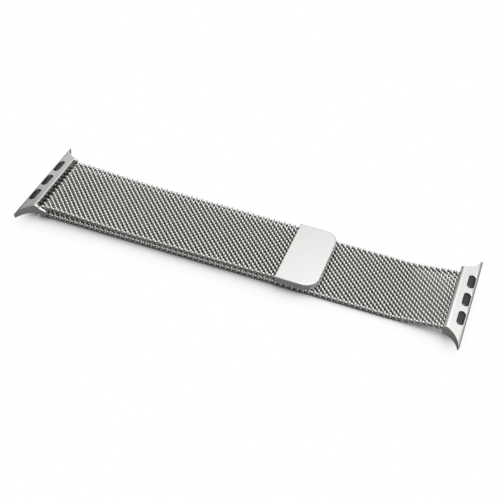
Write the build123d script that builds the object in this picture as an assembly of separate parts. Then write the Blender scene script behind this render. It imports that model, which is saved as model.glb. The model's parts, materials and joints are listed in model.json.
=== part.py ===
"""Woven steel watch band: a flexible mesh strap between two slide-in lugs, with a magnetic clasp.

X runs along the band with the fixed lug at +X, Y across it, Z up. The band lies flat with its
outer side up. The origin is the centre of the footprint. All sizes are in millimetres.
"""

from build123d import *

import math
import os

# Overall size and the strap
overall_length = 128.0
strap_width = 22.0
strap_thickness = 1.5
row_depth = 0.3
row_half_width = 0.3
rows_per_link = 4
lower_link_count = 18
upper_link_count = 10
knuckle_clearance = 0.06
layer_clearance = 0.3

# Slide-in plate, shared by both lugs
plate_thickness = 2.1
crease_thickness = 3.0
plate_run = 3.1
plate_slope = 10.0
plate_lift = 1.7
plate_overhang = 4.5
plate_tip_flat = 0.4
neck_wall = 0.8
flank_length = 4.2
flank_mid_shares = (0.42, 0.4)

# Windows in the plate and what sits in them
window_length_share = 0.228
window_width = 2.0
window_pitch_share = 0.318
window_centre_share = 0.24
window_web = 0.8
pocket_lip = 0.3
pad_recess = 0.25
seat_clearance = 0.05
slide_clearance = 0.1
latch_flange = 0.4
latch_travel = 0.4
retainer_thickness = 0.35
spring_thickness = 0.1
spring_width = 1.4
spring_length_share = 0.8

# Loop lug: the arms and the bar that the strap folds round
bar_radius = 0.6
fold_clearance = 0.05
slot_gap = 0.3
slot_wall = 0.3
arm_clearance = 0.15
arm_radius = 0.95
lead_length = 2.4
fold_joint_gap = 0.05

# Fixed lug: the neck that the strap end is seated in
neck_drop_angle = 22.0
neck_run = 1.1
strap_end_height = 2.3
tongue_thickness = 1.0
tongue_length = 1.5
tongue_clearance = 0.05

# Clasp
clasp_left = 12.7
clasp_length = 11.6
clasp_wrap = 0.3
clasp_height = 1.9
clasp_corner = 4.0
clasp_wall = 0.35
clasp_top = 0.45
clasp_base_thickness = 0.35
clasp_edge_round = 0.3
clasp_tongue = 2.6
clasp_tongue_inset = 0.5
magnet_count = 4
magnet_gap = 0.5

overrun = 1.0

# Places worked out from the sizes above
half_thickness = strap_thickness / 2
neck_width = strap_width + 2 * neck_wall
plate_width = neck_width + 2 * plate_overhang
clasp_width = strap_width + 2 * clasp_wrap
window_length = strap_width * window_length_share
window_pitch = strap_width * window_pitch_share
plate_radius = plate_thickness / 2
slope_angle = math.radians(plate_slope)
outer_end = -overall_length / 2
outer_centre = (outer_end + plate_radius, plate_lift + plate_radius)
crease_drop = crease_thickness / 2 - plate_radius
crease_centre = (
    outer_centre[0] + plate_run * math.cos(slope_angle) + crease_drop * math.sin(slope_angle),
    outer_centre[1] + plate_run * math.sin(slope_angle) - crease_drop * math.cos(slope_angle),
)
fold_inner = bar_radius + fold_clearance
fold_middle = fold_inner + half_thickness
fold_outer = fold_inner + strap_thickness
slot_wall_x = crease_centre[0] + slot_wall
bar_x = slot_wall_x + slot_gap + fold_outer
bar_z = half_thickness + fold_middle
lead_x = bar_x + lead_length
layer_height = strap_thickness + layer_clearance + half_thickness
neck_angle = math.radians(neck_drop_angle)
neck_end = (
    -crease_centre[0] - neck_run * math.cos(neck_angle),
    crease_centre[1] - neck_run * math.sin(neck_angle),
)
strap_end_x = neck_end[0] - half_thickness
lower_pitch = (strap_end_x - lead_x) / lower_link_count
upper_pitch = (clasp_left - half_thickness - lead_x) / (upper_link_count + 0.5)
clasp_floor = strap_thickness + layer_clearance
tongue_middle = clasp_floor + clasp_base_thickness + tongue_clearance + tongue_thickness / 2


def lower_points():
    """Hinge points of the lower layer, from the fold to the fixed lug, as X and Z."""
    rise = strap_end_height - half_thickness
    rise_shares = {lower_link_count - 1: 0.48, lower_link_count: 1.0}
    points = []
    for index in range(lower_link_count + 1):
        height = half_thickness + rise * rise_shares.get(index, 0.0)
        points.append((lead_x + index * lower_pitch, height))
    return points


def upper_points():
    """Hinge points of the upper layer, from the fold to the clasp, as X and Z."""
    top = bar_z + fold_middle
    fall_shares = (0.0, 0.3, 0.6, 0.85)
    points = []
    for index in range(upper_link_count + 1):
        share = fall_shares[index] if index < len(fall_shares) else 1.0
        points.append((lead_x + index * upper_pitch, top + (layer_height - top) * share))
    return points


def capsule(start, end, thickness):
    """A straight bar with round ends, in side view, from one centre to another."""
    run = Vector(end[0] - start[0], end[1] - start[1])
    angle = math.degrees(math.atan2(run.Y, run.X))
    middle = Pos((start[0] + end[0]) / 2, (start[1] + end[1]) / 2)
    return middle * Rot(0, 0, angle) * SlotCenterToCenter(run.length, thickness)


def plate_profile():
    """The plate in side view: thin at its full-round outer edge, thicker below the crease."""
    edge = Pos(*outer_centre) * Circle(plate_radius)
    crease = Pos(*crease_centre) * Circle(crease_thickness / 2)
    return make_hull(edge.edges() + crease.edges())


def across(profile, width):
    """A side-view profile drawn in X and Z, made into a solid across the band."""
    return extrude(Plane.XZ * profile, amount=width / 2, both=True)


def mirrored(shape):
    """The same shape turned end for end along X."""
    return mirror(shape, about=Plane.YZ)


def row_line(run, height, depth):
    """The ribbed edge of a link, one V groove between each two rows of the weave."""
    pitch = run / rows_per_link
    points = []
    for row in range(1, rows_per_link):
        points.append((row * pitch - row_half_width, height))
        points.append((row * pitch, height - depth))
        points.append((row * pitch + row_half_width, height))
    return points


def link_profile(start, end):
    """A link between two hinge points: hollow knuckle at the start, round knuckle at the end."""
    run = Vector(end[0] - start[0], end[1] - start[1])
    top = row_line(run.length, half_thickness, row_depth)
    bottom = [(x, -z) for x, z in reversed(top)]
    outline = [(0, half_thickness), *top, (run.length, half_thickness)]
    outline += [(run.length, -half_thickness), *bottom, (0, -half_thickness)]
    face = make_face(Polyline(*outline, close=True))
    face += Pos(run.length, 0) * Circle(half_thickness)
    face -= Circle(half_thickness + knuckle_clearance)
    angle = math.degrees(math.atan2(run.Y, run.X))
    return Pos(*start) * Rot(0, 0, angle) * face


def strap_links(points):
    """The links of one layer, each a solid across the strap."""
    return [
        across(link_profile(start, end), strap_width)
        for start, end in zip(points, points[1:])
    ]


def mesh_fold():
    """The strap where it turns round the bar, with the short lower run to the first hinge."""
    bar = Pos(bar_x, bar_z)
    ring = bar * (Circle(fold_outer) - Circle(fold_inner))
    beside = Pos(bar_x + fold_outer, bar_z) * Rectangle(2 * fold_outer, 3 * fold_outer)
    turn = ring - beside
    lead = Pos(bar_x + lead_length / 2, half_thickness) * Rectangle(lead_length, strap_thickness)
    knuckle = Pos(lead_x, half_thickness) * Circle(half_thickness)
    return across(turn + lead + knuckle, strap_width)


def upper_lead():
    """The first piece of the upper layer, from the fold to its first hinge."""
    run = lead_length - fold_joint_gap
    height = bar_z + fold_middle
    slab = Pos(lead_x - run / 2, height) * Rectangle(run, strap_thickness)
    knuckle = Pos(lead_x, height) * Circle(half_thickness)
    return across(slab + knuckle, strap_width)


def plan_outline(inner_end, inner_width):
    """Half of the lug from above, its concave flank running from a wide tip to the neck."""
    tip = plate_width / 2
    neck = neck_width / 2
    flank_x = outer_end + flank_length
    middle = (
        outer_end + flank_length * flank_mid_shares[0],
        neck + (tip - neck) * flank_mid_shares[1],
    )
    outline = Polyline((outer_end, 0), (outer_end, tip), (outer_end + plate_tip_flat, tip))
    outline += ThreePointArc((outer_end + plate_tip_flat, tip), middle, (flank_x, neck))
    outline += Polyline((flank_x, neck), (inner_end, inner_width / 2), (inner_end, 0), (outer_end, 0))
    half = make_face(outline)
    return half + mirror(half, about=Plane.XZ)


def plate_frame():
    """The plane of the plate's top face at the windows: X up the slope, Z out of the face."""
    along = window_centre_share * plate_run
    foot_x = outer_centre[0] + along * math.cos(slope_angle) - plate_radius * math.sin(slope_angle)
    foot_z = outer_centre[1] + along * math.sin(slope_angle) + plate_radius * math.cos(slope_angle)
    normal = (-math.sin(slope_angle), 0, math.cos(slope_angle))
    slope = (math.cos(slope_angle), 0, math.sin(slope_angle))
    return Plane(origin=(foot_x, 0, foot_z), x_dir=slope, z_dir=normal)


def obround(shift, grow, top, bottom):
    """An upright obround block on the plate, sized from the window and grown all round."""
    shape = Rot(0, 0, 90) * SlotOverall(window_length + 2 * grow, window_width + 2 * grow)
    return plate_frame() * Pos(0, shift, bottom) * extrude(shape, amount=top - bottom)


def cut_windows(lug):
    """The lug with its three windows and the wider pockets behind them."""
    for place in (-window_pitch, 0, window_pitch):
        lug -= obround(place, 0, overrun, -window_web - overrun)
        lug -= obround(place, pocket_lip, -window_web, -plate_thickness - overrun)
    return lug


def lug_solid(profile, inner_end, inner_width):
    """A side-view profile trimmed to the lug's outline from above."""
    height = 2 * (crease_centre[1] + plate_thickness)
    column = Pos(0, 0, -height / 2) * extrude(plan_outline(inner_end, inner_width), amount=height)
    return across(profile, plate_width) & column


def loop_lug():
    """The plate with two arms that carry the bar, and the open slot between them."""
    arm_end = (bar_x, bar_z)
    profile = plate_profile() + capsule(crease_centre, arm_end, 2 * arm_radius)
    lug = lug_solid(profile, bar_x + arm_radius + overrun, neck_width)
    slot_length = bar_x + arm_radius + overrun - slot_wall_x
    slot = Box(slot_length, strap_width + 2 * arm_clearance, 4 * plate_thickness + bar_z)
    lug -= Pos(slot_wall_x + slot_length / 2, 0, bar_z) * slot
    bore = Plane(origin=(bar_x, 0, bar_z), z_dir=(0, 1, 0)) * Circle(bar_radius)
    lug -= extrude(bore, amount=neck_width, both=True)
    return cut_windows(lug)


def loop_bar():
    """The round bar between the arms, flush with their outer faces."""
    section = Plane(origin=(bar_x, 0, bar_z), z_dir=(0, 1, 0)) * Circle(bar_radius)
    return extrude(section, amount=neck_width / 2, both=True)


def fixed_lug():
    """The plate with a short neck bent down to the strap and slotted for its end."""
    foot = (-neck_end[0], neck_end[1])
    profile = plate_profile() + capsule(crease_centre, foot, plate_thickness)
    front = Pos(foot[0] + overall_length / 2, foot[1]) * Rectangle(overall_length, 4 * plate_thickness)
    lug = lug_solid(profile - front, foot[0], neck_width)
    room = tongue_clearance
    slot = Box(tongue_length + 2 * room, strap_width + 2 * room, tongue_thickness + 2 * room)
    slot_x = foot[0] - (tongue_length + 2 * room) / 2 + room
    lug -= Pos(slot_x, 0, strap_end_height) * slot
    return mirrored(cut_windows(lug))


def mesh_fixed_end():
    """The last piece of the strap, its thinned end seated in the fixed lug."""
    start = Pos(strap_end_x, strap_end_height)
    body_end = neck_end[0] - tongue_clearance
    run = body_end - strap_end_x
    face = Pos(strap_end_x + run / 2, strap_end_height) * Rectangle(run, strap_thickness)
    tongue_run = tongue_length
    face += Pos(body_end + tongue_run / 2, strap_end_height) * Rectangle(tongue_run, tongue_thickness)
    face -= start * Circle(half_thickness + knuckle_clearance)
    return across(face, strap_width)


def pad(place):
    """A soft pad that fills one end window, held by its wider foot."""
    stem = obround(place, -seat_clearance, -pad_recess, -window_web)
    foot = obround(place, pocket_lip - seat_clearance, -window_web, -plate_thickness)
    return stem + foot


def latch():
    """The sprung catch in the middle window, with the rim that keeps it in."""
    stem = obround(0, -slide_clearance, -pad_recess, -window_web)
    rim = obround(0, pocket_lip - slide_clearance, -window_web, -window_web - latch_flange)
    return stem + rim


def retainer():
    """The thin plate that closes the pocket behind the catch."""
    top = -plate_thickness + retainer_thickness
    return obround(0, pocket_lip - seat_clearance, top, -plate_thickness)


def latch_spring():
    """A bowed leaf between the retainer and the catch."""
    low = -plate_thickness + retainer_thickness
    high = -window_web - latch_flange
    half = (window_length + 2 * pocket_lip) * spring_length_share / 2
    gap = knuckle_clearance / 3
    foot = (-half, low + gap)
    crown = (0, high - gap - spring_thickness)
    lower = ThreePointArc(foot, crown, (half, foot[1]))
    upper = ThreePointArc(
        (half, foot[1] + spring_thickness),
        (0, crown[1] + spring_thickness),
        (-half, foot[1] + spring_thickness),
    )
    sides = Line(lower @ 1, upper @ 0) + Line(upper @ 1, lower @ 0)
    face = make_face(lower + upper + sides)
    frame = plate_frame()
    side = Plane(origin=frame.origin, x_dir=(0, 1, 0), z_dir=frame.x_dir)
    return extrude(side * face, amount=spring_width / 2, both=True)


def clasp_outline(inset):
    """The clasp from above: square at the strap side, wide round corners at its free end."""
    width = clasp_width - 2 * inset
    length = clasp_length - 2 * inset
    corner = clasp_corner - inset
    left = clasp_left + inset
    right = left + length
    side = width / 2
    turn = corner * (1 - math.sqrt(0.5))
    outline = Polyline((right - corner, -side), (left, -side), (left, side), (right - corner, side))
    outline += ThreePointArc((right - corner, side), (right - turn, side - turn), (right, side - corner))
    outline += Line((right, side - corner), (right, corner - side))
    outline += ThreePointArc((right, corner - side), (right - turn, turn - side), (right - corner, -side))
    return make_face(outline)


def clasp_cover():
    """The clasp's shell, open below, with a slot in its side for the strap end."""
    shell = Pos(0, 0, clasp_floor) * extrude(clasp_outline(0), amount=clasp_height)
    shell = fillet(shell.faces().sort_by(Axis.Z)[-1].edges(), radius=clasp_edge_round)
    hollow = extrude(clasp_outline(clasp_wall), amount=clasp_height - clasp_top + overrun)
    shell -= Pos(0, 0, clasp_floor - overrun) * hollow
    room = tongue_clearance
    tongue_width = strap_width - 2 * clasp_tongue_inset
    opening = Box(4 * clasp_wall, tongue_width + 2 * room, tongue_thickness + 2 * room)
    return shell - Pos(clasp_left, 0, tongue_middle) * opening


def clasp_base():
    """The flat plate that closes the clasp from below."""
    plate = clasp_outline(clasp_wall + seat_clearance)
    return Pos(0, 0, clasp_floor) * extrude(plate, amount=clasp_base_thickness)


def clasp_magnets():
    """A row of flat magnets side by side across the clasp, past the strap end."""
    room = clasp_wall + seat_clearance
    start = clasp_left + clasp_tongue + magnet_gap
    length = clasp_left + clasp_length - room - start - clasp_corner / 4
    pitch = (clasp_width - 2 * room - clasp_corner / 2) / magnet_count
    low = clasp_floor + clasp_base_thickness
    height = clasp_height - clasp_top - clasp_base_thickness - seat_clearance
    magnet = Box(length, pitch - magnet_gap, height)
    row = [
        Pos(start + length / 2, (index - (magnet_count - 1) / 2) * pitch, low + height / 2) * magnet
        for index in range(magnet_count)
    ]
    return Compound(children=row)


def mesh_clasp_end():
    """The last piece of the upper layer, its thinned end held inside the clasp."""
    start = upper_points()[-1]
    run = clasp_left - seat_clearance - start[0]
    face = Pos(start[0] + run / 2, start[1]) * Rectangle(run, strap_thickness)
    tongue_run = clasp_tongue + seat_clearance
    tongue_x = clasp_left - seat_clearance + tongue_run / 2
    tongue = Pos(tongue_x, tongue_middle) * Rectangle(tongue_run, tongue_thickness)
    face -= Pos(*start) * Circle(half_thickness + knuckle_clearance)
    return across(face, strap_width) + across(tongue, strap_width - 2 * clasp_tongue_inset)


def all_nodes():
    """Every piece of the band, by name."""
    nodes = {
        "loop_lug": loop_lug(),
        "loop_bar": loop_bar(),
        "fixed_lug": fixed_lug(),
        "mesh_fold": mesh_fold(),
        "mesh_upper_lead": upper_lead(),
        "mesh_fixed_end": mesh_fixed_end(),
        "mesh_clasp_end": mesh_clasp_end(),
        "clasp_cover": clasp_cover(),
        "clasp_base": clasp_base(),
        "clasp_magnets": clasp_magnets(),
    }
    fittings = {
        "pad_far": pad(window_pitch),
        "pad_near": pad(-window_pitch),
        "latch": latch(),
        "latch_spring": latch_spring(),
        "retainer": retainer(),
    }
    for name, shape in fittings.items():
        nodes[f"loop_{name}"] = shape
        nodes[f"fixed_{name}"] = mirrored(shape)
    for index, link in enumerate(strap_links(lower_points()), start=1):
        nodes[f"lower_link_{index:02d}"] = link
    for index, link in enumerate(strap_links(upper_points()), start=1):
        nodes[f"upper_link_{index:02d}"] = link
    return nodes


os.makedirs("parts", exist_ok=True)
for node_name, node_shape in all_nodes().items():
    export_step(node_shape, f"parts/{node_name}.step")
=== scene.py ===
"""Woven steel watch band with two slide-in lugs and a magnetic clasp, dressed for rendering.

Metres, in the frame of the model: X along the band, Y across it, Z up.
"""

import json
import math

import bmesh
import bpy
import numpy as np
from mathutils import Matrix, Vector


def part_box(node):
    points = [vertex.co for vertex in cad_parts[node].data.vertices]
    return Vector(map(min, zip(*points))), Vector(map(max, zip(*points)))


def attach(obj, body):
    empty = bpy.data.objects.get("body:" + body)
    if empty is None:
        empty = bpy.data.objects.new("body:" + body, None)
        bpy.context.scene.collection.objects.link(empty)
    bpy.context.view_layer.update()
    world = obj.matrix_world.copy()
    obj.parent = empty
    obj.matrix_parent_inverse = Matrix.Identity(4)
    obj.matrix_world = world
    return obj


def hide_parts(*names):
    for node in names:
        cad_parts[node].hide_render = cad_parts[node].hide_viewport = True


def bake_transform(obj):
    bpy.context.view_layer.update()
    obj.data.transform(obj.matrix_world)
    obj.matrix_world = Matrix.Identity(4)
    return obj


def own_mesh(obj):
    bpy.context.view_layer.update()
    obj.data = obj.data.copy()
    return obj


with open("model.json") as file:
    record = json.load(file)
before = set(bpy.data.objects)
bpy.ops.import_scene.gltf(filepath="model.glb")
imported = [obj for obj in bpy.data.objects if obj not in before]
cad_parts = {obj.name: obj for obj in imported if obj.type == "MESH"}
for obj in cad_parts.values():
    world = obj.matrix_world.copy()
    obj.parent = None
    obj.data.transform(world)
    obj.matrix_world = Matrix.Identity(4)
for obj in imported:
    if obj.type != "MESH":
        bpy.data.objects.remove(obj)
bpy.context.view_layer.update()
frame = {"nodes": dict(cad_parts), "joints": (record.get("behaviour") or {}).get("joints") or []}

MM = 0.001

# The photograph's camera: degrees, pixels of a 500 pixel frame, and metres
VIEW_AZIMUTH = 18.89
VIEW_ELEVATION = 44.13
VIEW_ROLL = 2.74
FRAME_PIXELS = 500
FOCAL_PIXELS = 910.7
ORIGIN_PIXEL = (244.5, 246.3)
VIEW_DISTANCE = 256.6 * MM
SENSOR = 36.0
CAMERA_RANGE = (0.005, 20)

# The weave: flattened coils of wire across the strap, each hooked into the next
WIRE_RADIUS = 0.3 * MM
ROW_PITCH = 0.8 * MM
TURN_PITCH = 1.6 * MM
COIL_HALF_LENGTH = 0.28 * MM
END_TURN = 0.6
STEPS_PER_TURN = 14
WIRE_SIDES = 7
EDGE_INSET = 0.05 * MM
# Painted sheen: a band along both edges where the wires are tinted lighter, and how far towards
# the lit tone
EDGE_BAND = 0.7 * MM
EDGE_PAINTED_SHEEN = 0.45
FAR_STAGGER = 0.45 * MM
NEAR_STAGGER = 0.12 * MM
SAMPLE_STEP = 0.05 * MM
CLASP_OVERLAP = 0.9 * MM
SEAT_OVERLAP = 0.3 * MM

# Finishing of the solid pieces: broken edges, domed pads, and the springs' fine edges
EDGE_BREAK = 0.1 * MM
CLASP_EDGE = 0.05 * MM
MERGE_DISTANCE = 0.001 * MM
FLAT_ANGLE = math.radians(0.5)
SHARP_ANGLE = math.radians(35)
FLAT_FACE_WEIGHT = 100
UPWARD = 0.9
PAD_ROUND = 0.2 * MM
CROWN_STEPS = ((0.15 * MM, 0.08 * MM), (0.25 * MM, 0.08 * MM), (0.25 * MM, 0.04 * MM))
LUG_ROUND = 0.2 * MM
SPRING_EDGE = 0.01 * MM

# Colours and roughness of the finishes, and the scales of their grain
BRUSH_ALONG = 400.0
BRUSH_ACROSS = 9000.0
BRUSH_STRENGTH = 0.03
BRUSH_DEPTH = 0.01 * MM
SMUDGE_SCALE = 180.0
PLATE_DARK, PLATE_LIGHT, PLATE_ROUGH = (0.70, 0.692, 0.68), (0.76, 0.752, 0.74), (0.26, 0.36)
CLASP_DARK, CLASP_LIGHT, CLASP_ROUGH = (0.66, 0.652, 0.645), (0.70, 0.692, 0.685), (0.36, 0.46)
SMALL_DARK, SMALL_LIGHT, SMALL_ROUGH = (0.5, 0.5, 0.49), (0.6, 0.6, 0.59), (0.25, 0.4)
# The wire's painted shade and light: a shaded tone where the wires dive, a lit tone at the strap's
# faces, spread between DIVE_DEEP and DIVE_HIGH
WIRE_PAINTED_SHADE, WIRE_PAINTED_LIGHT, WIRE_ROUGH = (0.44, 0.435, 0.42), (0.84, 0.83, 0.815), (0.24, 0.4)
WIRE_GRAIN = 2600.0
DIVE_DEEP = 0.2
DIVE_HIGH = 0.9
BLACK_DARK, BLACK_LIGHT = (0.004, 0.004, 0.004), (0.01, 0.01, 0.01)
BLACK_GRAIN = 900.0
BLACK_GLOSS = 0.6
PAD_ROUGH = (0.16, 0.3)
CATCH_ROUGH = (0.1, 0.2)

# The studio: the key lamp, the fill, the table with its painted soft shade, and the dark cards
KEY_PLACE = (0.06, 0.2, 0.62)
KEY_SIZE = 0.45
KEY_POWER = 1.2
FILL_STRENGTH = 0.4
TABLE_HALF = 3.0
TABLE_COLOUR = (0.3, 0.3, 0.292, 1)
# The painted shadow on the table: its samples, reach, lean, full strength and fall-off
SHADE_SAMPLES = 32
SHADE_REACH = 12 * MM
SHADE_LEAN = (0.15, 1.0, 0.8)
SHADE_FULL = 0.76
SHADE_POWER = 3.2
CARD_COLOUR = (0.05, 0.05, 0.048, 1)
CARD_ROUGH = 0.9
CARD_X = -0.5
CARD_NEAR = -0.9
CARD_FAR = 0.41
CARD_TOP = 0.5
BACK_Y = 0.6
BACK_LEFT = -0.55
BACK_RIGHT = 0.6
BACK_TOP = 0.3
CORNER_Y = 0.59
CORNER_LEFT = -0.48
CORNER_RIGHT = -0.22
CORNER_TOP = 0.47

JOINTS = {joint["name"]: joint for joint in frame["joints"]}
LOWER_LAST = sum(name.startswith("curl_lower") for name in JOINTS) - 1
UPPER_LAST = sum(name.startswith("curl_upper") for name in JOINTS) - 1


def joint_place(name):
    """A joint's place in side view: X and Z."""
    x, _, z = JOINTS[name]["pos_m"]
    return np.array((x, z))


LOWER = [joint_place(f"curl_lower_{index:02d}") for index in range(LOWER_LAST + 1)]
UPPER = [joint_place(f"curl_upper_{index:02d}") for index in range(UPPER_LAST + 1)]
BAR = joint_place("flap_open")
LINK_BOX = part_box(f"lower_link_{LOWER_LAST // 2:02d}")
STRAP_HALF_WIDTH = LINK_BOX[1].y
STRAP_THICKNESS = LINK_BOX[1].z - LINK_BOX[0].z
COIL_HALF_HEIGHT = STRAP_THICKNESS / 2 - WIRE_RADIUS


def smooth_curve(points):
    """A smooth height over X through hinge points, flat at both ends."""
    places = np.array(points)
    order = np.argsort(places[:, 0])
    x, z = places[order, 0], places[order, 1]
    slope = np.gradient(z, x)
    slope[0] = slope[-1] = 0

    def height(at):
        cell = np.clip(np.searchsorted(x, at) - 1, 0, len(x) - 2)
        run = x[cell + 1] - x[cell]
        t = np.clip((at - x[cell]) / run, 0, 1)
        a, b = 2 * t**3 - 3 * t**2 + 1, t**3 - 2 * t**2 + t
        c = t**3 - t**2
        here = a * z[cell] + b * run * slope[cell]
        return here + (1 - a) * z[cell + 1] + c * run * slope[cell + 1]

    return height


def strap_path():
    """The strap's middle line in side view, from the fixed lug round the bar to the clasp."""
    seat_x = LOWER[-1][0] + STRAP_THICKNESS / 2 + SEAT_OVERLAP
    clasp_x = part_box("clasp_cover")[0].x + CLASP_OVERLAP
    lower_x = np.arange(seat_x, BAR[0], -SAMPLE_STEP)
    lower = np.column_stack((lower_x, smooth_curve(LOWER)(lower_x)))
    radius = BAR[1] - LOWER[0][1]
    turns = np.linspace(-math.pi / 2, -3 * math.pi / 2, int(math.pi * radius / SAMPLE_STEP))
    fold = np.column_stack((BAR[0] + radius * np.cos(turns), BAR[1] + radius * np.sin(turns)))
    upper_x = np.arange(BAR[0] + SAMPLE_STEP, clasp_x, SAMPLE_STEP)
    upper = np.column_stack((upper_x, smooth_curve(UPPER)(upper_x)))
    return np.vstack((lower, fold, upper)), len(lower), len(lower) + len(fold)


PATH, FOLD_START, FOLD_END = strap_path()
STEPS = np.linalg.norm(np.diff(PATH, axis=0), axis=1)
ALONG = np.concatenate(([0.0], np.cumsum(STEPS)))
TANGENT = np.gradient(PATH, ALONG, axis=0)
TANGENT /= np.linalg.norm(TANGENT, axis=1)[:, None]


def along_lower(x):
    """How far along the strap the lower layer passes X."""
    return float(np.interp(-x, -PATH[:FOLD_START, 0], ALONG[:FOLD_START]))


def along_upper(x):
    """How far along the strap the upper layer passes X."""
    return float(np.interp(x, PATH[FOLD_END:, 0], ALONG[FOLD_END:]))


def node_group(name, sockets, kind="ShaderNodeTree"):
    """An empty node group with its named sockets and its two end nodes."""
    group = bpy.data.node_groups.new(name, kind)
    for label, direction, socket_type, value in sockets:
        socket = group.interface.new_socket(label, in_out=direction, socket_type=socket_type)
        if value is not None:
            socket.default_value = value
    return group, group.nodes.new("NodeGroupInput"), group.nodes.new("NodeGroupOutput")


class Wiring:
    """Short calls to add and join nodes in one tree."""

    def __init__(self, tree):
        self.tree = tree

    def add(self, kind, **settings):
        node = self.tree.nodes.new(kind)
        for key, value in settings.items():
            setattr(node, key, value)
        return node

    def join(self, source, target):
        self.tree.links.new(source, target)

    def math(self, operation, *values):
        node = self.add("ShaderNodeMath", operation=operation)
        for socket, value in zip(node.inputs, values):
            self.put(socket, value)
        return node.outputs[0]

    def put(self, socket, value):
        if isinstance(value, bpy.types.NodeSocket):
            self.join(value, socket)
        else:
            socket.default_value = value


def weave_tree():
    """Rows of flattened wire coils, laid flat: rows along X, each coil running across in Y."""
    tree, given, result = node_group(
        "wire_weave",
        [
            ("First row", "INPUT", "NodeSocketInt", 0),
            ("Rows", "INPUT", "NodeSocketInt", 8),
            ("Row pitch", "INPUT", "NodeSocketFloat", ROW_PITCH),
            ("Turn pitch", "INPUT", "NodeSocketFloat", TURN_PITCH),
            ("Half width", "INPUT", "NodeSocketFloat", STRAP_HALF_WIDTH),
            ("Coil half length", "INPUT", "NodeSocketFloat", COIL_HALF_LENGTH),
            ("Coil half height", "INPUT", "NodeSocketFloat", COIL_HALF_HEIGHT),
            ("Wire radius", "INPUT", "NodeSocketFloat", WIRE_RADIUS),
            ("Far stagger", "INPUT", "NodeSocketFloat", FAR_STAGGER),
            ("Near stagger", "INPUT", "NodeSocketFloat", NEAR_STAGGER),
            ("Steps", "INPUT", "NodeSocketInt", 200),
            ("Wire sides", "INPUT", "NodeSocketInt", WIRE_SIDES),
            ("Material", "INPUT", "NodeSocketMaterial", None),
            ("Geometry", "OUTPUT", "NodeSocketGeometry", None),
        ],
        "GeometryNodeTree",
    )
    w = Wiring(tree)
    pitch = given.outputs["Row pitch"]

    span = w.add("GeometryNodeCurvePrimitiveLine")
    near, far = w.add("ShaderNodeCombineXYZ"), w.add("ShaderNodeCombineXYZ")
    spare = w.math("MULTIPLY", given.outputs["Turn pitch"], END_TURN)
    reach = w.math("ADD", given.outputs["Half width"], spare)
    w.join(w.math("MULTIPLY", reach, -1.0), near.inputs["Y"])
    w.join(reach, far.inputs["Y"])
    w.join(near.outputs[0], span.inputs["Start"])
    w.join(far.outputs[0], span.inputs["End"])
    fine = w.add("GeometryNodeResampleCurve")
    w.join(span.outputs[0], fine.inputs["Curve"])
    w.join(given.outputs["Steps"], fine.inputs["Count"])

    rows = w.add("GeometryNodeMeshLine")
    first, step = w.add("ShaderNodeCombineXYZ"), w.add("ShaderNodeCombineXYZ")
    w.join(w.math("MULTIPLY", given.outputs["First row"], pitch), first.inputs["X"])
    w.join(pitch, step.inputs["X"])
    w.join(given.outputs["Rows"], rows.inputs["Count"])
    w.join(first.outputs[0], rows.inputs["Start Location"])
    w.join(step.outputs[0], rows.inputs["Offset"])
    placed = w.add("GeometryNodeInstanceOnPoints")
    w.join(rows.outputs[0], placed.inputs["Points"])
    w.join(fine.outputs[0], placed.inputs["Instance"])
    real = w.add("GeometryNodeRealizeInstances")
    w.join(placed.outputs[0], real.inputs[0])

    where = w.add("ShaderNodeSeparateXYZ")
    w.join(w.add("GeometryNodeInputPosition").outputs[0], where.inputs[0])
    row = w.math("ROUND", w.math("DIVIDE", where.outputs["X"], pitch))
    turn = w.math("DIVIDE", where.outputs["Y"], given.outputs["Turn pitch"])
    odd = w.math("FLOORED_MODULO", row, 2.0)
    far_step = w.math("MULTIPLY", odd, given.outputs["Far stagger"])
    near_step = w.math("MULTIPLY", odd, given.outputs["Near stagger"])
    far_edge = w.math("SUBTRACT", given.outputs["Half width"], far_step)
    near_edge = w.math("SUBTRACT", near_step, given.outputs["Half width"])
    held = w.math("MAXIMUM", w.math("MINIMUM", where.outputs["Y"], far_edge), near_edge)
    phase = w.math("ADD", w.math("MULTIPLY", turn, -2 * math.pi), w.math("MULTIPLY", row, math.pi))
    side, lift = w.math("COSINE", phase), w.math("SINE", phase)
    offset = w.add("ShaderNodeCombineXYZ")
    w.join(w.math("MULTIPLY", side, given.outputs["Coil half length"]), offset.inputs["X"])
    w.join(w.math("SUBTRACT", held, where.outputs["Y"]), offset.inputs["Y"])
    w.join(w.math("MULTIPLY", lift, given.outputs["Coil half height"]), offset.inputs["Z"])
    coiled = w.add("GeometryNodeSetPosition")
    w.join(real.outputs[0], coiled.inputs["Geometry"])
    w.join(offset.outputs[0], coiled.inputs["Offset"])

    ring = w.add("GeometryNodeCurvePrimitiveCircle")
    w.join(given.outputs["Wire sides"], ring.inputs["Resolution"])
    w.join(given.outputs["Wire radius"], ring.inputs["Radius"])
    wire = w.add("GeometryNodeCurveToMesh")
    wire.inputs["Fill Caps"].default_value = True
    w.join(coiled.outputs[0], wire.inputs["Curve"])
    w.join(ring.outputs[0], wire.inputs["Profile Curve"])
    smooth = w.add("GeometryNodeSetShadeSmooth")
    w.join(wire.outputs[0], smooth.inputs["Geometry"])
    finish = w.add("GeometryNodeSetMaterial")
    w.join(smooth.outputs[0], finish.inputs["Geometry"])
    w.join(given.outputs["Material"], finish.inputs["Material"])
    w.join(finish.outputs[0], result.inputs["Geometry"])
    return tree


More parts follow.
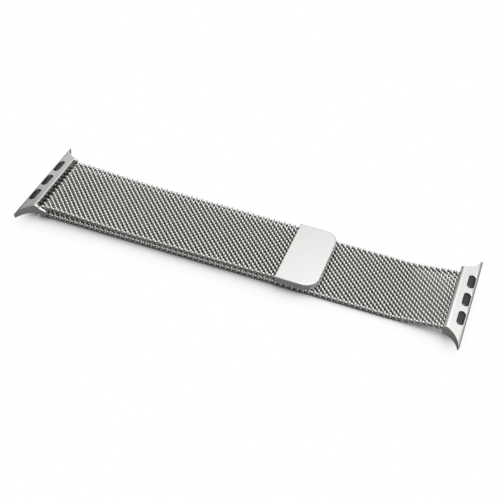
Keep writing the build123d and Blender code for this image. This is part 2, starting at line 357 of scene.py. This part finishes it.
def flat_weave(tree, first_row, rows, material):
    """One stretch of the weave as a plain flat mesh."""
    carrier = bpy.data.objects.new("weave_carrier", bpy.data.meshes.new("weave_carrier"))
    bpy.context.scene.collection.objects.link(carrier)
    modifier = carrier.modifiers.new("weave", "NODES")
    modifier.node_group = tree
    turns = 2 * STRAP_HALF_WIDTH / TURN_PITCH + 2 * END_TURN
    values = {
        "First row": first_row,
        "Rows": rows,
        "Half width": STRAP_HALF_WIDTH - WIRE_RADIUS - EDGE_INSET,
        "Steps": int(turns * STEPS_PER_TURN) + 1,
        "Material": material,
    }
    for item in tree.interface.items_tree:
        if item.in_out == "INPUT" and item.name in values:
            modifier[item.identifier] = values[item.name]
    evaluated = carrier.evaluated_get(bpy.context.evaluated_depsgraph_get())
    mesh = bpy.data.meshes.new_from_object(evaluated)
    bpy.data.objects.remove(carrier)
    return mesh


def weave_piece(name, tree, start, end, material):
    """The stretch of strap between two places along its middle line, laid on that line."""
    first_row = math.ceil(start / ROW_PITCH)
    rows = math.ceil(end / ROW_PITCH) - first_row
    mesh = flat_weave(tree, first_row, rows, material)
    places = np.empty(len(mesh.vertices) * 3)
    mesh.vertices.foreach_get("co", places)
    places = places.reshape(-1, 3)
    along, height = places[:, 0], places[:, 2]
    x = np.interp(along, ALONG, PATH[:, 0])
    z = np.interp(along, ALONG, PATH[:, 1])
    run_x = np.interp(along, ALONG, TANGENT[:, 0])
    run_z = np.interp(along, ALONG, TANGENT[:, 1])
    laid = np.column_stack((x + run_z * height, places[:, 1], z - run_x * height))
    mesh.vertices.foreach_set("co", laid.ravel())
    # Painted shade and sheen for the wires: a mask that is low where a wire dives to the middle of
    # the strap's thickness and high at its faces
    depth = mesh.attributes.new("painted_shade_and_sheen", "FLOAT", "POINT")
    share = np.abs(height) / (STRAP_THICKNESS / 2)
    # Painted sheen along both edges: the wires there are lifted towards the lit tone
    edge = (np.abs(places[:, 1]) - STRAP_HALF_WIDTH + EDGE_BAND) / EDGE_BAND
    share = np.maximum(share, np.clip(edge, 0, EDGE_PAINTED_SHEEN))
    depth.data.foreach_set("value", share.astype(np.float32))
    mesh.name = name
    mesh.update()
    piece = bpy.data.objects.new(name, mesh)
    bpy.context.scene.collection.objects.link(piece)
    return piece


def bend_across(piece):
    """Bakes a piece's placement into its mesh."""
    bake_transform(piece)


def weave_strap(material):
    """The whole strap, one woven piece for each hinge and one for the fold round the bar."""
    tree = weave_tree()
    strap_end = 0.0
    for index in range(LOWER_LAST, -1, -1):
        here = LOWER[index]
        last = index == LOWER_LAST
        right = strap_end if last else along_lower((here[0] + LOWER[index + 1][0]) / 2)
        left_x = (here[0] + LOWER[index - 1][0]) / 2 if index else (here[0] + BAR[0]) / 2
        piece = weave_piece(f"weave_lower_{index:02d}", tree, right, along_lower(left_x), material)
        reach = here[0] - left_x
        if last:
            reach = min(reach, STRAP_THICKNESS / 2)
        bend_across(piece)
        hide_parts("mesh_fixed_end" if last else f"lower_link_{index + 1:02d}")
    lead_x = (LOWER[0][0] + BAR[0]) / 2
    fold = weave_piece("weave_fold", tree, along_lower(lead_x), along_upper(lead_x), material)
    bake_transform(fold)
    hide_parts("mesh_fold")
    for index in range(UPPER_LAST + 1):
        here = UPPER[index]
        last = index == UPPER_LAST
        left_x = (here[0] + UPPER[index - 1][0]) / 2 if index else lead_x
        right = ALONG[-1] if last else along_upper((here[0] + UPPER[index + 1][0]) / 2)
        piece = weave_piece(f"weave_upper_{index:02d}", tree, along_upper(left_x), right, material)
        reach = here[0] - left_x
        bend_across(piece)
        if index == 0:
            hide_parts("mesh_upper_lead", "upper_link_01")
        else:
            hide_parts("mesh_clasp_end" if last else f"upper_link_{index + 1:02d}")


def brushed_group():
    """Fine straight brush lines and soft smudges, as two masks."""
    tree, given, result = node_group(
        "brushed_finish",
        [
            ("Lines along X", "INPUT", "NodeSocketFloat", BRUSH_ALONG),
            ("Lines along Y", "INPUT", "NodeSocketFloat", BRUSH_ACROSS),
            ("Smudge scale", "INPUT", "NodeSocketFloat", SMUDGE_SCALE),
            ("Lines", "OUTPUT", "NodeSocketFloat", None),
            ("Smudge", "OUTPUT", "NodeSocketFloat", None),
        ],
    )
    w = Wiring(tree)
    place = w.add("ShaderNodeTexCoord").outputs["Object"]
    stretch = w.add("ShaderNodeCombineXYZ")
    w.join(given.outputs["Lines along X"], stretch.inputs["X"])
    w.join(given.outputs["Lines along Y"], stretch.inputs["Y"])
    w.join(given.outputs["Lines along X"], stretch.inputs["Z"])
    scaled = w.add("ShaderNodeVectorMath", operation="MULTIPLY")
    w.join(place, scaled.inputs[0])
    w.join(stretch.outputs[0], scaled.inputs[1])
    lines = w.add("ShaderNodeTexNoise")
    lines.inputs["Scale"].default_value = 1.0
    lines.inputs["Detail"].default_value = 3.0
    w.join(scaled.outputs[0], lines.inputs["Vector"])
    smudge = w.add("ShaderNodeTexNoise")
    smudge.inputs["Detail"].default_value = 2.0
    w.join(place, smudge.inputs["Vector"])
    w.join(given.outputs["Smudge scale"], smudge.inputs["Scale"])
    w.join(lines.outputs["Fac"], result.inputs["Lines"])
    w.join(smudge.outputs["Fac"], result.inputs["Smudge"])
    return tree


def spread(w, value, low, high):
    """A mask from nought to one, spread between two values."""
    reach = w.add("ShaderNodeMapRange")
    w.join(value, reach.inputs["Value"])
    reach.inputs["To Min"].default_value = low
    reach.inputs["To Max"].default_value = high
    return reach.outputs[0]


def tint(w, mask, dark, light):
    """A colour between two, by a mask."""
    mix = w.add("ShaderNodeMix", data_type="RGBA")
    w.join(mask, mix.inputs[0])
    mix.inputs[6].default_value = (*dark, 1)
    mix.inputs[7].default_value = (*light, 1)
    return mix.outputs[2]


def new_material(name):
    """A material with its shader node, and the wiring of its tree."""
    material = bpy.data.materials.new(name)
    material.use_nodes = True
    return material, material.node_tree.nodes["Principled BSDF"], Wiring(material.node_tree)


def satin_steel(name, group, dark, light, rough):
    """Brushed steel: fine lines, faint smudges."""
    material, shader, w = new_material(name)
    finish = w.add("ShaderNodeGroup", node_tree=group)
    finish.inputs["Lines along X"].default_value = BRUSH_ALONG
    finish.inputs["Lines along Y"].default_value = BRUSH_ACROSS
    w.join(tint(w, finish.outputs["Smudge"], dark, light), shader.inputs["Base Color"])
    w.join(spread(w, finish.outputs["Lines"], *rough), shader.inputs["Roughness"])
    bump = w.add("ShaderNodeBump")
    bump.inputs["Strength"].default_value = BRUSH_STRENGTH
    bump.inputs["Distance"].default_value = BRUSH_DEPTH
    w.join(finish.outputs["Lines"], bump.inputs["Height"])
    w.join(bump.outputs[0], shader.inputs["Normal"])
    shader.inputs["Metallic"].default_value = 1.0
    return material


def wire_steel():
    """Drawn steel wire with painted shade and sheen: darker where the wires dive under each other,
    lighter at the strap's faces and along its edges.
    """
    material, shader, w = new_material("wire_steel")
    depth = w.add("ShaderNodeAttribute", attribute_name="painted_shade_and_sheen").outputs["Fac"]
    top = w.add("ShaderNodeMapRange", interpolation_type="SMOOTHSTEP")
    w.join(depth, top.inputs["Value"])
    top.inputs["From Min"].default_value = DIVE_DEEP
    top.inputs["From Max"].default_value = DIVE_HIGH
    # Painted shade: the shaded tone where the wires dive, the lit tone at the strap's faces and
    # edges
    w.join(tint(w, top.outputs[0], WIRE_PAINTED_SHADE, WIRE_PAINTED_LIGHT), shader.inputs["Base Color"])
    drawn = w.add("ShaderNodeTexNoise")
    drawn.inputs["Scale"].default_value = WIRE_GRAIN
    place = w.add("ShaderNodeTexCoord").outputs["Object"]
    w.join(place, drawn.inputs["Vector"])
    w.join(spread(w, drawn.outputs["Fac"], *WIRE_ROUGH), shader.inputs["Roughness"])
    shader.inputs["Metallic"].default_value = 1.0
    return material


def black_moulding(name, rough):
    """Smooth black moulding with a faint unevenness."""
    material, shader, w = new_material(name)
    noise = w.add("ShaderNodeTexNoise")
    noise.inputs["Scale"].default_value = BLACK_GRAIN
    w.join(w.add("ShaderNodeTexCoord").outputs["Object"], noise.inputs["Vector"])
    w.join(tint(w, noise.outputs["Fac"], BLACK_DARK, BLACK_LIGHT), shader.inputs["Base Color"])
    w.join(spread(w, noise.outputs["Fac"], *rough), shader.inputs["Roughness"])
    shader.inputs["Specular IOR Level"].default_value = BLACK_GLOSS
    return material


def dress(material, *nodes):
    """Gives CAD nodes a finish, in every slot that they have."""
    for name in nodes:
        mesh = frame["nodes"][name].data
        mesh.materials.clear()
        mesh.materials.append(material)


def raise_crown(form):
    """Raises the outer face of a pad or catch into a low dome."""
    form.normal_update()
    upward = [face for face in form.faces if face.normal.z > UPWARD]
    outer = max(upward, key=bmesh.types.BMFace.calc_area)
    for width, rise in CROWN_STEPS:
        bmesh.ops.inset_individual(form, faces=[outer], thickness=width, depth=rise)


def finished(node, body, material, edge_break=EDGE_BREAK, crowned=False):
    """A node's shape with its edges broken and its round faces smooth, in place of the node."""
    form = bmesh.new()
    form.from_mesh(frame["nodes"][node].data)
    bmesh.ops.remove_doubles(form, verts=form.verts, dist=MERGE_DISTANCE)
    bmesh.ops.dissolve_limit(form, angle_limit=FLAT_ANGLE, verts=form.verts, edges=form.edges)
    joined = [edge for edge in form.edges if edge.is_manifold]
    sharp = [edge for edge in joined if edge.calc_face_angle() > SHARP_ANGLE]
    bmesh.ops.bevel(
        form,
        geom=sharp,
        offset=edge_break,
        segments=2,
        profile=0.5,
        affect="EDGES",
        clamp_overlap=True,
    )
    bmesh.ops.recalc_face_normals(form, faces=form.faces)
    if crowned:
        raise_crown(form)
    mesh = bpy.data.meshes.new(f"finished_{node}")
    form.to_mesh(mesh)
    form.free()
    mesh.shade_smooth()
    mesh.set_sharp_from_angle(angle=SHARP_ANGLE)
    mesh.materials.append(material)
    piece = bpy.data.objects.new(f"finished_{node}", mesh)
    bpy.context.scene.collection.objects.link(piece)
    shading = piece.modifiers.new("flat_faces_lead", "WEIGHTED_NORMAL")
    shading.weight = FLAT_FACE_WEIGHT
    shading.keep_sharp = True
    evaluated = piece.evaluated_get(bpy.context.evaluated_depsgraph_get())
    piece.data = bpy.data.meshes.new_from_object(evaluated)
    piece.modifiers.clear()
    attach(piece, body)
    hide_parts(node)
    return piece


def bowed_spring(side, material):
    """The leaf spring behind one catch, its edges finely broken, carried by its lug."""
    node, lug = f"{side}_latch_spring", f"{side}_lug"
    spring = finished(node, lug, material, SPRING_EDGE)
    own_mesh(spring)


def finishes():
    """Every finish, on the pieces that carry it."""
    group = brushed_group()
    plate = satin_steel("plate_steel", group, PLATE_DARK, PLATE_LIGHT, PLATE_ROUGH)
    clasp = satin_steel("clasp_steel", group, CLASP_DARK, CLASP_LIGHT, CLASP_ROUGH)
    small = satin_steel("small_steel", group, SMALL_DARK, SMALL_LIGHT, SMALL_ROUGH)
    pads = black_moulding("pad_black", PAD_ROUGH)
    catch = black_moulding("catch_black", CATCH_ROUGH)
    finished("clasp_cover", "clasp", clasp, CLASP_EDGE)
    dress(clasp, "clasp_base")
    finished("loop_bar", "loop_lug", small)
    dress(small, "clasp_magnets")
    for side in ("loop", "fixed"):
        lug = f"{side}_lug"
        finished(lug, lug, plate, LUG_ROUND)
        finished(f"{side}_pad_far", lug, pads, PAD_ROUND, crowned=True)
        finished(f"{side}_pad_near", lug, pads, PAD_ROUND, crowned=True)
        finished(f"{side}_latch", f"{side}_latch", catch, PAD_ROUND, crowned=True)
        bowed_spring(side, small)
        dress(small, f"{side}_retainer")
    return wire_steel()


def set_camera():
    """The camera that the photograph was taken from."""
    azimuth, elevation, roll = (math.radians(a) for a in (VIEW_AZIMUTH, VIEW_ELEVATION, VIEW_ROLL))
    back = Vector(
        (
            math.sin(azimuth) * math.cos(elevation),
            -math.cos(azimuth) * math.cos(elevation),
            math.sin(elevation),
        )
    )
    level = (-back).cross(Vector((0, 0, 1))).normalized()
    upright = level.cross(-back)
    right = math.cos(roll) * level + math.sin(roll) * upright
    up = -math.sin(roll) * level + math.cos(roll) * upright
    middle = FRAME_PIXELS / 2
    shift = VIEW_DISTANCE / FOCAL_PIXELS
    place = back * VIEW_DISTANCE
    place -= right * (ORIGIN_PIXEL[0] - middle) * shift
    place += up * (ORIGIN_PIXEL[1] - middle) * shift
    data = bpy.data.cameras.new("photo_camera")
    data.sensor_width = SENSOR
    data.lens = SENSOR * FOCAL_PIXELS / FRAME_PIXELS
    data.clip_start, data.clip_end = CAMERA_RANGE
    camera = bpy.data.objects.new("photo_camera", data)
    turn = Matrix((right, up, back)).transposed().to_4x4()
    camera.matrix_world = Matrix.Translation(place) @ turn
    bpy.context.scene.collection.objects.link(camera)
    bpy.context.scene.camera = camera


def soft_lamp(name, place, size, power):
    """A square soft lamp that faces the band."""
    data = bpy.data.lights.new(name, "AREA")
    data.size = size
    data.energy = power
    lamp = bpy.data.objects.new(name, data)
    lamp.location = place
    lamp.rotation_euler = (-Vector(place)).to_track_quat("-Z", "Y").to_euler()
    bpy.context.scene.collection.objects.link(lamp)


def plain_card(name, corners, colour):
    """A flat stage piece of one dull colour, clear from its back."""
    mesh = bpy.data.meshes.new(name)
    mesh.from_pydata(corners, [], [(0, 1, 2, 3)])
    card = bpy.data.objects.new(name, mesh)
    bpy.context.scene.collection.objects.link(card)
    material, shader, w = new_material(name)
    shader.inputs["Base Color"].default_value = colour
    shader.inputs["Roughness"].default_value = CARD_ROUGH
    sides = w.add("ShaderNodeMixShader")
    w.join(w.add("ShaderNodeNewGeometry").outputs["Backfacing"], sides.inputs[0])
    w.join(shader.outputs[0], sides.inputs[1])
    w.join(w.add("ShaderNodeBsdfTransparent").outputs[0], sides.inputs[2])
    w.join(sides.outputs[0], material.node_tree.nodes["Material Output"].inputs["Surface"])
    mesh.materials.append(material)
    return card


def table_top():
    """The table: a grey board to the steel, and to the eye clear but for a painted shadow under
    the band.
    """
    half = TABLE_HALF
    corners = [(-half, -half, 0), (half, -half, 0), (half, half, 0), (-half, half, 0)]
    table = plain_card("table_top", corners, TABLE_COLOUR)
    tree = table.data.materials[0].node_tree
    w = Wiring(tree)
    surface = tree.nodes["Material Output"].inputs["Surface"]
    board = surface.links[0].from_socket
    # Painted shadow: to the eye the table is clear, tinted darker where the band stands near it,
    # by ambient occlusion leaned towards the lamp, not by the lamp's own shadow
    near_band = w.add("ShaderNodeAmbientOcclusion", samples=SHADE_SAMPLES)
    near_band.inputs["Distance"].default_value = SHADE_REACH
    lean = w.add("ShaderNodeCombineXYZ")
    for socket, value in zip(lean.inputs, Vector(SHADE_LEAN).normalized()):
        socket.default_value = value
    w.join(lean.outputs[0], near_band.inputs["Normal"])
    shade = w.add("ShaderNodeBsdfTransparent")
    covered = w.math("DIVIDE", w.math("SUBTRACT", 1.0, near_band.outputs["AO"]), SHADE_FULL)
    covered = w.math("MINIMUM", covered, 1.0)
    behind = w.add("ShaderNodeNewGeometry").outputs["Backfacing"]
    depth = w.math("POWER", covered, SHADE_POWER)
    depth = w.math("MULTIPLY", depth, w.math("SUBTRACT", 1.0, behind))
    w.join(w.math("SUBTRACT", 1.0, depth), shade.inputs["Color"])
    view = w.add("ShaderNodeMixShader")
    w.join(w.add("ShaderNodeLightPath").outputs["Is Camera Ray"], view.inputs[0])
    w.join(board, view.inputs[1])
    w.join(shade.outputs[0], view.inputs[2])
    w.join(view.outputs[0], surface)


def dark_card(name, start, end, top):
    """A dark upright card on the table, which only the metal sees."""
    corners = [(*start, 0), (*end, 0), (*end, top), (*start, top)]
    card = plain_card(name, corners, CARD_COLOUR)
    card.visible_camera = card.visible_diffuse = card.visible_shadow = False


def white_room():
    """White all round to the eye and to the metal, and a plain fill for the rest."""
    world = bpy.data.worlds.new("studio")
    bpy.context.scene.world = world
    world.use_nodes = True
    w = Wiring(world.node_tree)
    nodes = world.node_tree.nodes
    fill = nodes["Background"]
    fill.inputs["Color"].default_value = (1, 1, 1, 1)
    fill.inputs["Strength"].default_value = FILL_STRENGTH
    white = w.add("ShaderNodeBackground")
    white.inputs["Color"].default_value = (1, 1, 1, 1)
    ray = w.add("ShaderNodeLightPath")
    seen = w.math("MAXIMUM", ray.outputs["Is Camera Ray"], ray.outputs["Is Transmission Ray"])
    mix = w.add("ShaderNodeMixShader")
    w.join(w.math("MAXIMUM", seen, ray.outputs["Is Glossy Ray"]), mix.inputs[0])
    w.join(fill.outputs[0], mix.inputs[1])
    w.join(white.outputs[0], mix.inputs[2])
    w.join(mix.outputs[0], nodes["World Output"].inputs["Surface"])


def set_stage():
    """The table, the dark cards that give the steel its shade, the room and the soft lamp."""
    table_top()
    dark_card("left_card", (CARD_X, CARD_NEAR), (CARD_X, CARD_FAR), CARD_TOP)
    dark_card("back_card", (BACK_LEFT, BACK_Y), (BACK_RIGHT, BACK_Y), BACK_TOP)
    dark_card("corner_card", (CORNER_LEFT, CORNER_Y), (CORNER_RIGHT, CORNER_Y), CORNER_TOP)
    white_room()
    soft_lamp("key_lamp", KEY_PLACE, KEY_SIZE, KEY_POWER)


bpy.context.scene.view_settings.view_transform = "Standard"
weave_strap(finishes())
set_camera()
set_stage()
